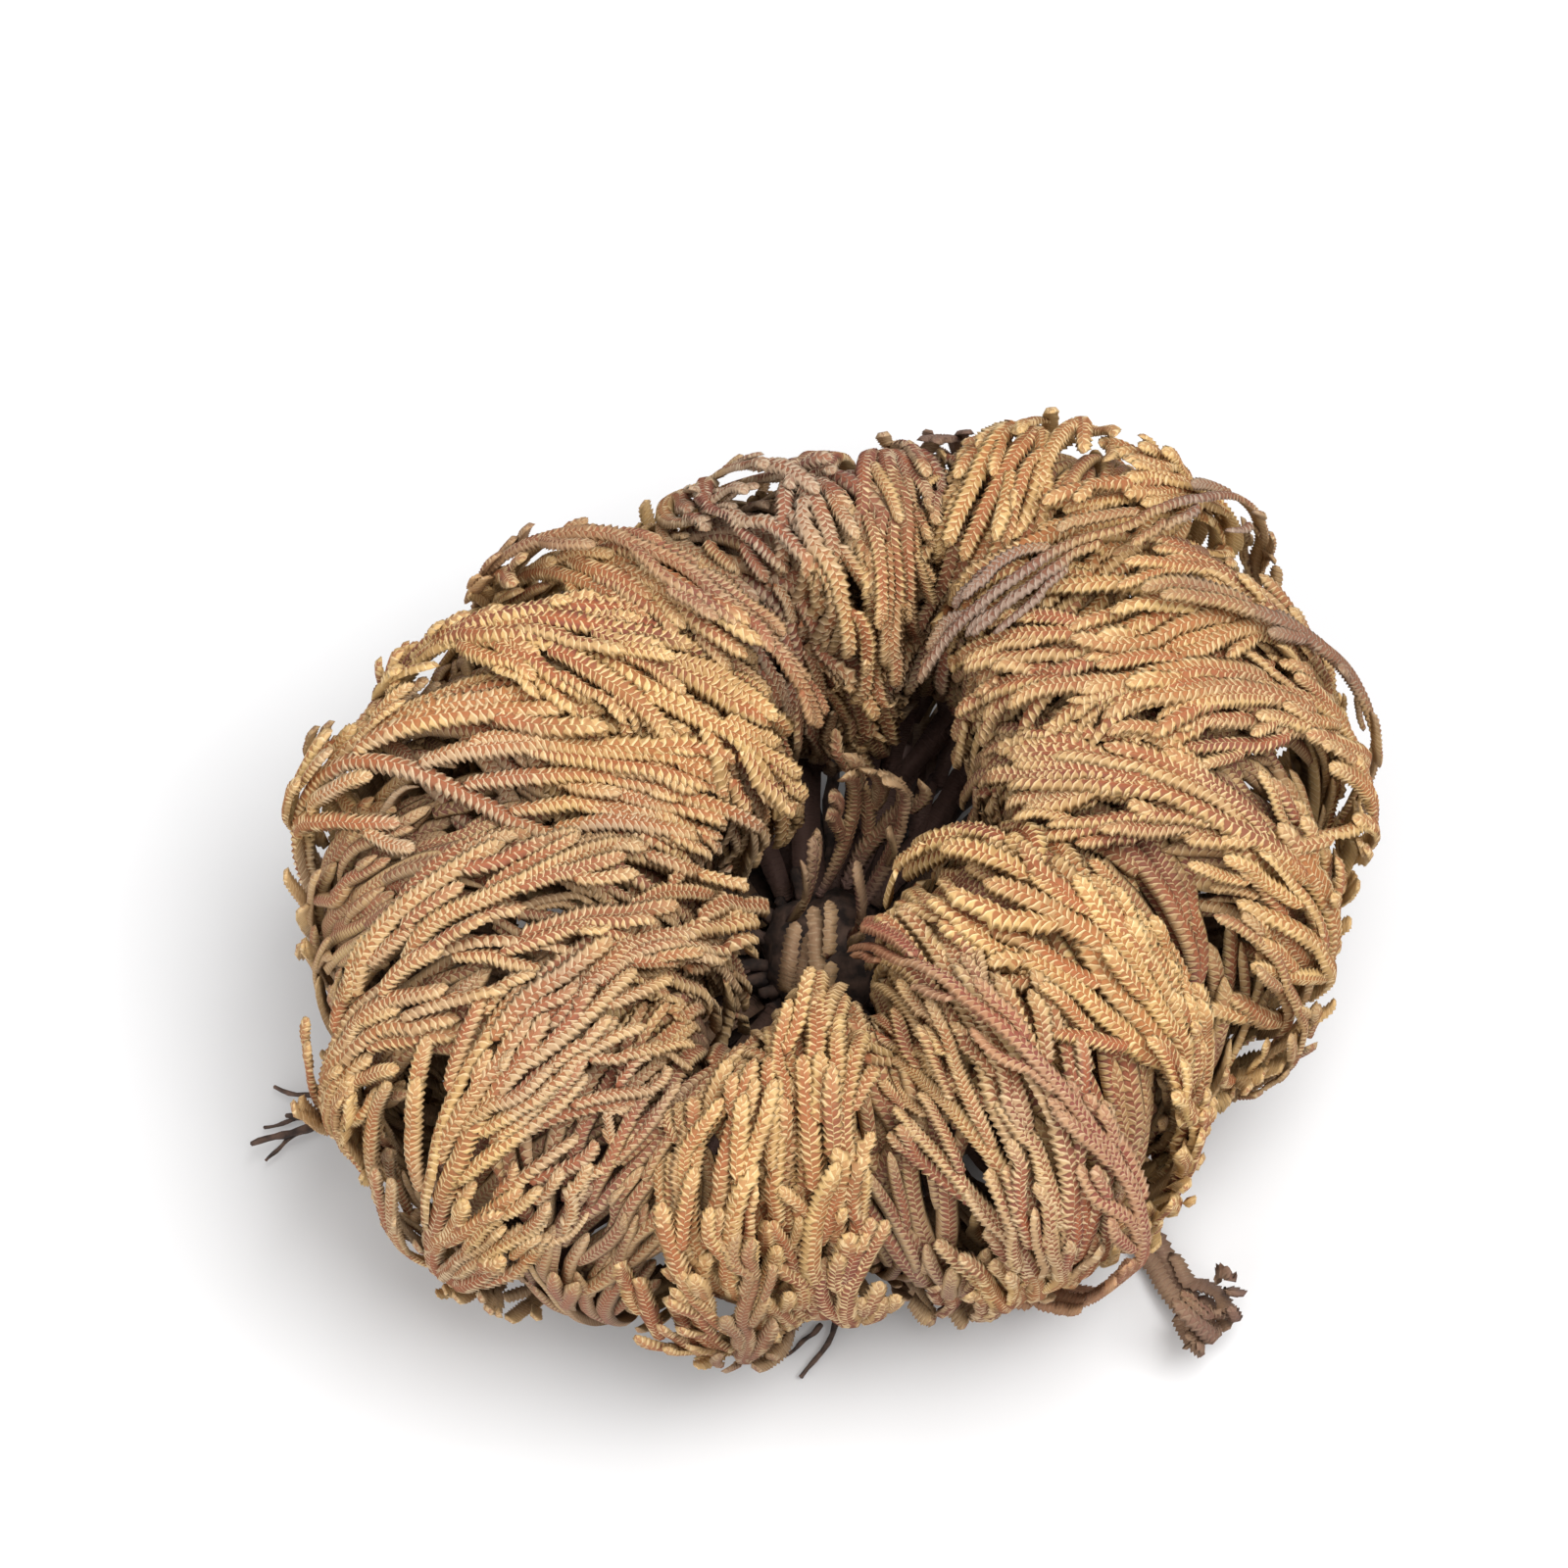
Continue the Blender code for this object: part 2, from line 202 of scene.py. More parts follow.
# How the fans of each layer grow: their spread as a share of the solid's, their strands' width and
# the life of side strands as shares too, where they first fork in mm, how many lie raised over
# the others, how far a fan's edges droop and its tips curl up in mm, and the places from which
# a frond is in half sight and in full sight
Habit = namedtuple(
    "Habit", "spread width_share first_fork life_share raised_share droop curl hidden_place fine_place"
)
HABITS = {
    "old_frond": Habit(0.45, 0.76, 30.0, 0.5, 0.0, 0.2, 1.0, 0.6, 0.9),
    "outer_frond": Habit(1.18, 1.00, 12.0, 1.0, 0.40, 2.2, 2.0, 0.95, 1.05),
    "middle_frond": Habit(1.22, 1.00, 9.0, 1.0, 0.22, 2.2, 1.5, 1.1, 1.68),
    "inner_frond": Habit(1.80, 1.00, 6.0, 1.0, 0.10, 1.5, 1.2, 1.5, 1.90),
    "heart_frond": Habit(1.00, 1.10, 5.0, 1.0, 0.10, 0.3, 0.9, 0.0, 0.0),
    "broken_frond": Habit(1.00, 1.00, 22.0, 0.8, 0.20, 0.3, 1.0, 0.0, 0.0),
}

# How much longer or shorter than their solids the fans of some fronds are, in mm
LONGER = {
    "old_frond": {},
    "outer_frond": {6: 2.0, 12: -4.0, 13: -9.0, 14: -7.0},
    "middle_frond": {4: 5.0, 5: 8.0, 6: 8.0, 7: 7.0, 8: 4.0, 12: -4.0, 13: -6.0},
    "inner_frond": {1: 6.0, 2: 9.0, 3: 9.0, 4: 9.0, 5: 7.0, 8: 7.0, 9: 7.0},
}
# Shorter strands are left out: in widths of the strand, and in mm
SHORTEST_SHARE = 1.35
SHORTEST_LENGTH = 2.0
# Nothing but the root pad lies lower than this, in mm
LOWEST = 0.25

# What differs from fan to fan, the waves over it in mm, and from strand to strand
FULL_TURN = 6.28
WAVE_HEIGHTS = (0.3, 1.0)
WAVE_LENGTHS = (5.0, 9.0)
CURLS = (-0.4, 1.0)
ROLL_SPREAD = 0.30
PITCH_SHARES = (0.88, 1.2)

# How strands grow, in mm and radians: one step, the angle between a fork's arms and the
# angle that they settle to, the way between forks, and how long side strands live by level
GROW_STEP = 0.8
FORK_ANGLE = 0.44
SETTLED_ANGLE = 0.20
FORK_GAP = (4.5, 8.5)
LIVES = ((500.0, 500.0), (16.0, 36.0), (9.0, 22.0), (6.0, 14.0))
# The steepest heading across a fan, and how much a heading wavers and turns to its goal in a step
STEEPEST = 0.74
WIGGLE = 0.040
STEERING = 0.12
# The main strand's sway, the mm along it for a radian of the sway, and its share of width
SWAY = (0.10, 0.26)
SWAY_LENGTH = 14.0
MAIN_WIDTH_SHARE = 1.05
# Strands keep this share of their two widths apart. They look this many widths ahead, try these
# turns to dodge another, and end if they would still cross it deeper than this many widths
CROWDING = 0.48
LOOK_AHEAD = 1.1
DODGE_TURNS = (-0.34, -0.17, 0.17, 0.34)
DEEPEST_CROSSING = 0.32
# A side strand's least share of the fan's width of strand, and the widest heading it aims for
SLIMMEST_SHARE = 0.66
WIDEST_GOAL = 0.52
# At the edge of a fan a strand turns back, and this share of them ends there
EDGE_TURN = 0.10
EDGE_ENDS = 0.55
# How deep the outer fans are sunk, how high raised strands lie, how much more they turn, and
# how much heights differ and are made up in a step
SUNK = 1.0
STOREY_LIFT = 1.6
RAISED_TURN = 0.16
LIFT_SPREAD = (-0.7, 0.6)
RISING = 0.16
# Room for the steps of all strands of a fan
MOST_STEPS = 12000


def wrapped(azimuth):
    """The same direction between -180 and 180 degrees."""
    return (azimuth + 180.0) % 360.0 - 180.0


def eased(share):
    share = np.clip(share, 0.0, 1.0)
    return share * share * (3.0 - 2.0 * share)


def direction(azimuth):
    turned = np.radians(azimuth)
    return np.stack((np.cos(turned), np.sin(turned)), -1)


def unit(vectors):
    return vectors / np.maximum(np.linalg.norm(vectors, axis=-1, keepdims=True), 1e-12)


def running_length(points):
    """How far along a line through points each of them lies."""
    return np.concatenate(([0.0], np.cumsum(np.linalg.norm(np.diff(points, axis=0), axis=1))))


def ball_radius(azimuth):
    """Radius of the ball's outline, a smooth curve through BALL_RADII."""
    count = len(BALL_RADII)
    place = (azimuth % 360.0) * count / 360.0
    first = np.floor(place).astype(int)
    share = place - first
    before, start, end, after = (BALL_RADII[(first + k) % count] for k in (-1, 0, 1, 2))
    cube, square = share**3, share**2
    return (
        (2 * cube - 3 * square + 1) * start
        + (cube - 2 * square + share) * (end - before) / 2
        + (3 * square - 2 * cube) * end
        + (cube - square) * (after - start) / 2
    )


def oval_points(azimuth, half_length, half_width):
    """Plan points on an oval that lies along the hollow."""
    along = direction(HOLLOW_AZIMUTH)
    across = np.array((-along[1], along[0]))
    local = direction(azimuth - HOLLOW_AZIMUTH)
    return HOLLOW_CENTRE + local[..., :1] * half_length * along + local[..., 1:] * half_width * across


def fold_depth(azimuth, angle):
    depth = 0.0
    for side, top, half_width in FOLDS:
        away = wrapped(azimuth - side - (top - side) * eased(angle / 120.0)) / half_width
        depth = depth + np.exp(-away * away)
    on_side = FOLD_DEPTH * eased((angle + 50.0) / 90.0)
    on_top = EXTRA_FOLD_DEPTH * eased((angle - 25.0) / 60.0)
    return depth * (on_side + on_top)


def ball_points(azimuth, angle, depth):
    """Points of the ball's wall: azimuth round it, angle round its section, depth under its surface."""
    outer = ball_radius(azimuth)[..., None] * direction(azimuth)
    inner = oval_points(azimuth, HOLLOW_HALF_LENGTH, HOLLOW_HALF_WIDTH)
    sunk = depth + fold_depth(azimuth, angle)
    half_height = (BALL_HEIGHT + HIGH_SIDE_RISE * np.cos(np.radians(azimuth - HIGH_SIDE_AZIMUTH))) / 2
    out, up = np.cos(np.radians(angle)), np.sin(np.radians(angle))
    is_shoulder = (angle > 90.0) & (angle < 180.0)
    out = np.where(is_shoulder, -np.abs(out) ** SHOULDER_POWER, out)
    up = np.where(is_shoulder, np.abs(up) ** SHOULDER_POWER, up)
    apart = outer - inner
    reach = (np.linalg.norm(apart, axis=-1) / 2 - sunk) * out
    plan = (outer + inner) / 2 + unit(apart) * reach[..., None]
    height = FLOOR_GAP + half_height + (half_height - sunk) * up
    return np.concatenate((plan, height[..., None]), -1)


class Path:
    def half_width(self, along):
        return np.interp(along, self.lengths, self.halves)


class FrondPath(Path):
    """Bends a flat frond on to its layer: length along it, shift across it and lift off it, in mm."""

    def __init__(self, layer, frond, spread):
        self.layer = layer
        self.spread = spread
        self.frond = frond
        self.places = np.linspace(0.0, LAST_PLACE, PLACE_COUNT)
        middle = self.at(self.places, 0.0, 0.0)
        self.lengths = running_length(middle)
        self.length = np.interp(2.0, self.places, self.lengths)
        sides = self.at(self.places, 0.5, 0.0) - self.at(self.places, -0.5, 0.0)
        self.per_degree = np.linalg.norm(sides, axis=1)
        self.halves = self.half_widths()

    def angle(self, place):
        return BOTTOM_ANGLE + (self.frond.end_angle - BOTTOM_ANGLE) * np.maximum(0.0, place - 1.0)

    def azimuth(self, angle):
        return self.frond.azimuth + self.frond.swing * eased(angle / 180.0)

    def at(self, place, turn, lift):
        angle = self.angle(place)
        azimuth = self.azimuth(angle) + turn
        low = ball_points(azimuth, angle, self.layer.depth - lift)
        share = np.minimum(place, 1.0)
        start = FROND_START_RADIUS * direction(azimuth)
        plan = start + (low[..., :2] - start) * share[..., None]
        height = self.layer.start_height - 0.5 * lift
        height = height + (low[..., 2] - height) * eased(share)
        return np.concatenate((plan, height[..., None]), -1)

    def points(self, along, across, lift):
        place = np.interp(along, self.lengths, self.places)
        turn = across / np.interp(along, self.lengths, self.per_degree)
        return self.at(place, turn, lift)

    def half_widths(self):
        """Half of the frond's width at each place: a stalk, widest on the shoulder, then a blunt tip."""
        full = self.layer.half_width
        stalk = STALK_HALF_WIDTH + (BASE_SPREAD * full - STALK_HALF_WIDTH) * self.places
        fan = np.sin(math.pi * np.minimum(0.9, SWELL_START + SWELL_RANGE * (self.places - 1.0)))
        fan = full * np.where(self.places < 1.5, np.maximum(BASE_SPREAD, fan), fan)
        room = self.room_beside(self.angle(self.places)) * self.per_degree
        width = np.where(self.places < 1.0, stalk, fan)
        return np.maximum(LEAST_HALF_WIDTH, np.minimum(width, room) * self.spread)

    def room_beside(self, angle):
        """Half of the turn, in degrees, to the nearest frond of the layer that reaches this angle."""
        here = self.azimuth(angle)
        room = np.full(np.shape(angle), 45.0)
        for other in self.layer.fronds:
            if other is self.frond:
                continue
            there = other.azimuth + other.swing * eased(angle / 180.0)
            apart = np.abs(wrapped(there - here)) / 2
            room = np.where(angle < other.end_angle + 8.0, np.minimum(room, apart), room)
        return room


class SimplePath(Path):
    """Bends a flat frond on to a line through points, with its own direction across."""

    def __init__(self, corners, across, half_width):
        corners = np.array(corners, dtype=float)
        far = running_length(corners)
        self.length = far[-1]
        self.lengths = np.linspace(0.0, far[-1] + 1.5, 200)
        middle = np.stack([np.interp(self.lengths, far, corners[:, k]) for k in range(3)], -1)
        beyond = np.maximum(0.0, self.lengths - far[-1])[:, None]
        middle = middle + beyond * unit(corners[-1] - corners[-2])
        kernel = np.hanning(31) / np.hanning(31).sum()
        for k in range(3):
            padded = np.pad(middle[:, k], 15, mode="reflect", reflect_type="odd")
            middle[:, k] = np.convolve(padded, kernel, mode="valid")
        self.middle = middle
        ahead = unit(np.gradient(middle, axis=0))
        across = np.broadcast_to(np.array(across, dtype=float), middle.shape)
        self.normal = unit(np.cross(across, ahead))
        self.across = unit(np.cross(ahead, self.normal))
        self.places = np.linspace(1.0, 2.0, 200)
        share = np.clip(self.lengths / self.length, 0.0, 1.0)
        self.halves = np.maximum(0.9, half_width * np.sin(math.pi * (SWELL_START + SWELL_RANGE * share)))

    def points(self, along, across, lift):
        def at(rows):
            return np.stack([np.interp(along, self.lengths, rows[:, k]) for k in range(3)], -1)
        across, lift = np.asarray(across)[..., None], np.asarray(lift)[..., None]
        return at(self.middle) + across * at(self.across) + lift * at(self.normal)


class Strand:
    """One strand as it grows over the flat frond."""

    def __init__(self, index, spot, heading, goal, lift, width, level, storey, rng):
        self.index = index
        self.spot = np.array(spot, dtype=float)
        self.heading = heading
        self.goal = goal
        self.lift = lift
        self.goal_lift = storey * STOREY_LIFT + rng.uniform(*LIFT_SPREAD)
        self.width = width
        self.level = level
        self.storey = storey
        self.life = rng.uniform(*LIVES[min(level, len(LIVES) - 1)])
        self.age = 0.0
        self.next_fork = rng.uniform(*FORK_GAP)
        self.side = 1.0 if rng.random() < 0.5 else -1.0
        self.ends_at_edge = rng.random() < EDGE_ENDS
        self.forks = []
        self.has_side_strands = False
        self.samples = []


class Fan:
    """The strands of one frond, laid flat. They grow side by side, fork where there is room,
    turn away from each other, and end where they run into another or leave the frond."""

    def __init__(self, path, width, rng, habit):
        self.path = path
        self.width = width
        self.rng = rng
        self.habit = habit
        self.rows = np.zeros((MOST_STEPS, 5))
        self.filled = 0
        self.strands = []
        self.active = []
        self.sway = rng.uniform(*SWAY)
        self.sway_start = rng.uniform(0.0, FULL_TURN)
        self.start_strand((0.0, 0.0), 0.0, 0.0, 0.0, width * MAIN_WIDTH_SHARE, 0, 0)
        while self.active:
            for strand in list(self.active):
                self.advance(strand)

    def start_strand(self, spot, heading, goal, lift, width, level, storey):
        strand = Strand(len(self.strands), spot, heading, goal, lift, width, level, storey, self.rng)
        strand.life *= self.habit.life_share if level > 0 else 1.0
        strand.limit = self.path.length + self.rng.uniform(-6.0, 1.5) * (level > 0)
        self.strands.append(strand)
        self.active.append(strand)
        return strand

    def room(self, strand, heading, reach):
        """Free space, in mm, round the spot that lies ahead of a strand."""
        rows = self.rows[: self.filled]
        ahead = strand.spot + reach * np.array((math.cos(heading), math.sin(heading)))
        counts = (rows[:, 3] != strand.index) & (rows[:, 4] == strand.storey)
        for other, spot in strand.forks:
            apart = np.hypot(rows[:, 0] - spot[0], rows[:, 1] - spot[1])
            counts &= (rows[:, 3] != other) | (apart > 2.4 * strand.width)
        gaps = np.hypot(rows[:, 0] - ahead[0], rows[:, 1] - ahead[1])
        gaps = (gaps - CROWDING * (rows[:, 2] + strand.width))[counts]
        return gaps.min() if len(gaps) else 99.0

    def advance(self, strand):
        rng = self.rng
        along, across = strand.spot
        if strand.age >= strand.life or along > strand.limit:
            self.active.remove(strand)
            return
        goal = strand.goal
        if strand.level == 0:
            goal = self.sway * math.sin(along / SWAY_LENGTH + self.sway_start)
        heading = strand.heading + STEERING * (goal - strand.heading) + rng.normal(0.0, WIGGLE)
        reach = LOOK_AHEAD * strand.width
        free = self.room(strand, heading, reach)
        if free < 0.0:
            ways = [heading + turn for turn in DODGE_TURNS]
            free, heading = max((self.room(strand, way, reach), way) for way in ways)
            if free < -DEEPEST_CROSSING * strand.width and strand.level > 0 and strand.age > 3.0:
                self.active.remove(strand)
                return
        half = self.path.half_width(along)
        if abs(across) + 0.3 * strand.width > half and along > self.habit.first_fork:
            if strand.ends_at_edge and strand.level > 0 and strand.age > 7.0:
                self.active.remove(strand)
                return
            heading -= math.copysign(EDGE_TURN, across)
        strand.heading = min(STEEPEST, max(-STEEPEST, heading))
        ahead = np.array((math.cos(strand.heading), math.sin(strand.heading)))
        strand.spot = strand.spot + GROW_STEP * ahead
        strand.lift += RISING * (strand.goal_lift - strand.lift)
        strand.age += GROW_STEP
        strand.samples.append((*strand.spot, strand.lift))
        self.rows[self.filled] = (*strand.spot, strand.width, strand.index, strand.storey)
        self.filled += 1
        can_fork = strand.age > strand.next_fork and along > self.habit.first_fork
        if can_fork and along < self.path.length - 5.0 and strand.life - strand.age > 4.0:
            self.fork(strand)

    def fork(self, parent):
        may_rise = parent.storey == 0 and parent.level < 2
        if may_rise and self.rng.random() < self.habit.raised_share:
            self.add_side_strand(parent, parent.side, 1)
            return
        for side in (-parent.side, parent.side):
            toward = parent.heading + side * FORK_ANGLE
            near = self.room(parent, toward, 1.7 * parent.width)
            far = self.room(parent, toward, 2.9 * parent.width)
            if near > 0.0 and far > -0.05 * parent.width:
                self.add_side_strand(parent, side, parent.storey)
                return
        parent.next_fork = parent.age + 2.0

    def add_side_strand(self, parent, side, storey):
        rng = self.rng
        width = max(SLIMMEST_SHARE * self.width, parent.width * rng.uniform(0.80, 1.02))
        turn = SETTLED_ANGLE + RAISED_TURN * (storey > parent.storey)
        goal = parent.goal + side * turn + rng.normal(0.0, 0.06)
        goal = min(WIDEST_GOAL, max(-WIDEST_GOAL, goal))
        spot = parent.spot + np.array((0.0, side * 0.18 * parent.width))
        heading = parent.heading + side * FORK_ANGLE
        child = self.start_strand(spot, heading, goal, parent.lift, width, parent.level + 1, storey)
        child.forks.append((parent.index, parent.spot))
        parent.forks.append((child.index, parent.spot))
        parent.has_side_strands = True
        parent.heading -= side * 0.10
        parent.side = side
        parent.next_fork = parent.age + rng.uniform(*FORK_GAP)


class MeshParts:
    """Collects the points, faces and leaf values of many tubes for one mesh."""

    def __init__(self):
        self.points, self.quads, self.corners = [], [], []
        self.leaf, self.tint, self.strips = [], [], []
        self.count = 0

    def add(self, points, quads, triangles, leaf, tint, far, round_it, is_flipped=False):
        """A tube: far holds how far along it each ring lies, and round_it its length round."""
        self.strips.append((far, round_it, is_flipped))
        self.points.append(points)
        self.quads.append(quads + self.count)
        self.corners.append(triangles + self.count)
        self.leaf.append(leaf)
        self.tint.append(tint)
        self.count += len(points)

    def build(self, name):
        points = np.concatenate(self.points).astype(np.float32) * MM
        quads = np.concatenate(self.quads)
        triangles = np.concatenate(self.corners)
        mesh = bpy.data.meshes.new(name)
        mesh.vertices.add(len(points))
        mesh.vertices.foreach_set("co", points.ravel())
        mesh.loops.add(quads.size + triangles.size)
        corners = np.concatenate((quads.ravel(), triangles.ravel()))
        mesh.loops.foreach_set("vertex_index", corners.astype(np.int32))
        sizes = np.concatenate((np.full(len(quads), 4), np.full(len(triangles), 3)))
        starts = np.concatenate(([0], np.cumsum(sizes)[:-1]))
        mesh.polygons.add(len(sizes))
        mesh.polygons.foreach_set("loop_start", starts.astype(np.int32))
        mesh.update(calc_edges=True)
        mesh.polygons.foreach_set("use_smooth", np.ones(len(sizes), dtype=bool))
        for title, values in (("leaf", self.leaf), ("tint", self.tint)):
            layer = mesh.attributes.new(title, "FLOAT_VECTOR", "POINT")
            layer.data.foreach_set("vector", np.concatenate(values).astype(np.float32).ravel())
        unwrapped = mesh.uv_layers.new(name="OFBake")
        unwrapped.data.foreach_set("uv", self.unwrap().astype(np.float32).ravel())
        piece = bpy.data.objects.new(name, mesh)
        bpy.context.scene.collection.objects.link(piece)
        return piece

    def unwrap(self):
        """The texture places of all corners: each tube is a strip, and the strips stand on shelves."""
        sizes = [(round_it + STRIP_GAP, far[-1] + 3 * STRIP_GAP) for far, round_it, _ in self.strips]
        area = sum(wide * tall for wide, tall in sizes)
        side = max(max(tall for _, tall in sizes), 1.06 * math.sqrt(area))
        while True:
            spots, used = shelve(sizes, side)
            if used <= side:
                break
            side *= 1.03
        quads, caps = [], []
        for (far, round_it, is_flipped), (left, low), strip in zip(self.strips, spots, self.quads):
            columns = len(strip) // (len(far) - 1)
            first = np.arange(columns)
            column = np.tile(first, len(far) - 1)
            ring = np.repeat(np.arange(len(far) - 1), columns)
            height = far[np.stack((ring, ring, ring + 1, ring + 1), -1)]
            for made, across, up in (
                (quads, (column, column + 1, column + 1, column), height),
                (caps, (first + 0.5, first + 1, first), (-0.2, 0.0, 0.0)),
                (caps, (first + 0.5, first, first + 1), (far[-1] + 0.2, far[-1], far[-1])),
            ):
                x = left + STRIP_GAP / 2 + round_it / columns * np.stack(across, -1)
                y = np.broadcast_to(low + STRIP_GAP + np.array(up), x.shape)
                places = np.stack((x, y), -1)
                made.append((places[:, ::-1] if is_flipped else places).reshape(-1, 2))
        return np.concatenate(quads + caps) / side


def shelve(sizes, side):
    """Stands boxes on shelves, tallest first; gives their corners and the height used."""
    spots = [None] * len(sizes)
    left, low, shelf = 0.0, 0.0, 0.0
    for index in sorted(range(len(sizes)), key=lambda k: -sizes[k][1]):
        wide, tall = sizes[index]
        if left + wide > side:
            left, low, shelf = 0.0, low + shelf, 0.0
        spots[index] = (left, low)
        left += wide
        shelf = max(shelf, tall)
    return spots, low + shelf


def tube_faces(rings, columns):
    """Quads between the rings of a tube, and triangles to a point at each end."""
    ring = np.arange(rings - 1)[:, None] * columns
    side = np.arange(columns)[None, :]
    beside = (side + 1) % columns
    quads = np.stack((ring + side, ring + beside, ring + columns + beside, ring + columns + side), -1)
    start, end = rings * columns, rings * columns + 1
    side, beside = side[0], beside[0]
    last = (rings - 1) * columns
    first_cap = np.stack((np.full(columns, start), beside, side), -1)
    last_cap = np.stack((np.full(columns, end), last + side, last + beside), -1)
    return quads.reshape(-1, 4), np.concatenate((first_cap, last_cap))


def ring_places(arc, along, pitch, shape):
    """Where the rings of a strand lie along it, and which of them are the recess behind a leaf's lip.
    Where a strand is hidden its rings are far apart, and in half sight it has no recesses."""
    places = []
    here = arc[0]
    while here < arc[-1] - 0.5 * pitch:
        places.append((here, 0.0))
        far = np.interp(here, arc, along)
        if far > shape["fine_from"]:
            places.append((here + RECESS_PHASE * pitch, 1.0))
            here += pitch
        else:
            here += (PLAIN_PITCHES if far > shape["hidden_until"] else COARSE_PITCHES) * pitch
    return np.array(places + [(arc[-1] - 0.12, 0.0), (arc[-1], 0.0)]).T


def strand_mesh(parts, path, strand, shape, tint):
    """Adds one strand to the mesh: a flattened tube, stepped in two rows of leaves."""
    along_at, across_at, lift_at = np.array(strand.samples).T
    arc = np.arange(len(along_at)) * GROW_STEP
    pitch = (PITCH_BASE + PITCH_PER_WIDTH * strand.width) * tint["pitch_share"]
    rings, is_recess = ring_places(arc, along_at, pitch, shape)
    end = arc[-1]
    along = np.interp(rings, arc, along_at)
    across = np.interp(rings, arc, across_at)
    is_fine = along > shape["fine_from"]
    # The width swells from a slender start and ends in a round, blunt tip
    half = 0.5 * strand.width * (1.0 - TAPER * rings / end)
    to_tip = np.clip((end - rings) / (TIP_HALF_WIDTHS * half), 0.0, 1.0)
    half = half * np.sqrt(np.maximum(0.03, 1.0 - (1.0 - to_tip) ** BLUNTNESS))
    half = half * (0.75 + 0.25 * eased(rings / 5.0))
    lift = np.interp(rings, arc, lift_at) - shape["sunk"]
    from_middle = across / np.maximum(2.0, path.half_width(along))
    lift = lift - shape["droop"] * from_middle ** 2
    lift = lift + shape["wave"] * np.sin(along / shape["wave_length"] + shape["wave_start"])
    lift = lift + tint["curl"] * eased(1.0 - (end - rings) / CURL_LENGTH)
    middle = path.points(along, across, lift)
    up = unit(path.points(along, across, lift + 0.4) - middle)
    ahead = unit(np.gradient(middle, axis=0))
    right = unit(np.cross(ahead, up))
    up = np.cross(right, ahead)
    roll = tint["roll"] - EDGE_ROLL * from_middle
    cosine, sine = np.cos(roll)[:, None], np.sin(roll)[:, None]
    right, up = right * cosine - up * sine, up * cosine + right * sine

    step = LEAF_STEP * 2 * half * np.where(is_recess > 0, -1.0, 1.0) * is_fine
    points = np.empty((len(rings), len(COLUMNS), 3))
    leaf = np.empty((len(rings), len(COLUMNS), 3))
    for k, (x, y, share) in enumerate(COLUMNS):
        side = (x > 0) - (x < 0)
        shift = LEAF_SLANT * abs(x) + SIDE_SHIFTS[side]
        moved = shift * pitch * is_fine * np.minimum(1.0, to_tip * 1.5)
        grown = (half + step * share)[:, None]
        points[:, k] = middle + x * grown * right + y * grown * up + moved[:, None] * ahead
        leaf[:, k, 0] = abs(x)
        leaf[:, k, 1] = (rings + moved) / pitch
        leaf[:, k, 2] = side
    ends = np.stack((middle[0] - ahead[0] * 0.2, middle[-1] + ahead[-1] * half[-1]))
    end_leaf = np.array(((0.0, rings[0] / pitch, 0.0), (0.0, rings[-1] / pitch, 0.0)))
    all_points = np.concatenate((points.reshape(-1, 3), ends))
    all_points[:, 2] = np.maximum(all_points[:, 2], LOWEST)
    tip = eased(1.0 - (end - rings) / PALE_LENGTH)
    place = np.interp(along, path.lengths, path.places)
    near_crown = 1.0 - eased((place - 0.75) / 0.6)
    values = np.stack((np.full(len(rings), tint["random"]), tip, near_crown), -1)
    values = np.repeat(values, len(COLUMNS), axis=0)
    values = np.concatenate((values, values[:1], values[-1:]))
    quads, triangles = tube_faces(len(rings), len(COLUMNS))
    all_leaf = np.concatenate((leaf.reshape(-1, 3), end_leaf))
    parts.add(all_points, quads, triangles, all_leaf, values, rings, 2.4 * strand.width)


def lobe_at(azimuth):
    return min(LOBES, key=lambda lobe: abs(wrapped(lobe.azimuth - azimuth)))


def fan_piece(name, path, width, habit, rng):
    """A mesh of the strands of one fan."""
    fan = Fan(path, width, rng, habit)
    shape = {
        "hidden_until": np.interp(habit.hidden_place, path.places, path.lengths),
        "fine_from": np.interp(habit.fine_place, path.places, path.lengths),
        "droop": habit.droop,
        "sunk": SUNK if habit.droop > 2.0 else 0.0,
        "wave": rng.uniform(*WAVE_HEIGHTS),
        "wave_length": rng.uniform(*WAVE_LENGTHS),
        "wave_start": rng.uniform(0.0, FULL_TURN),
    }
    shortest = SHORTEST_SHARE if habit.fine_place > 0.0 else 2.0 * SHORTEST_SHARE
    parts = MeshParts()
    for strand in fan.strands:
        length = len(strand.samples) * GROW_STEP
        is_short = length < shortest * strand.width and not strand.has_side_strands
        if length < SHORTEST_LENGTH or is_short:
            continue
        tint = {
            "random": rng.uniform(0.0, 1.0),
            "curl": rng.uniform(*CURLS) * habit.curl,
            "roll": rng.normal(0.0, ROLL_SPREAD),
            "pitch_share": rng.uniform(*PITCH_SHARES),
        }
        strand_mesh(parts, path, strand, shape, tint)
    return parts.build(name)


def oval_place(azimuth, share):
    """A point of a young frond's path in plan, from near the crown's middle to the oval."""
    start = HEART_START_RADIUS * direction(azimuth)
    full = oval_points(azimuth, HEART_HALF_LENGTH, HEART_HALF_BREADTH)
    return start + (full - start) * share


def heart_path(azimuth):
    corners = [(*oval_place(azimuth, share), height) for share, height in HEART_PATH]
    around = oval_place(azimuth + 1.0, 1.0) - oval_place(azimuth, 1.0)
    return SimplePath(corners, (*-unit(around), 0.0), HEART_HALF_WIDTH)


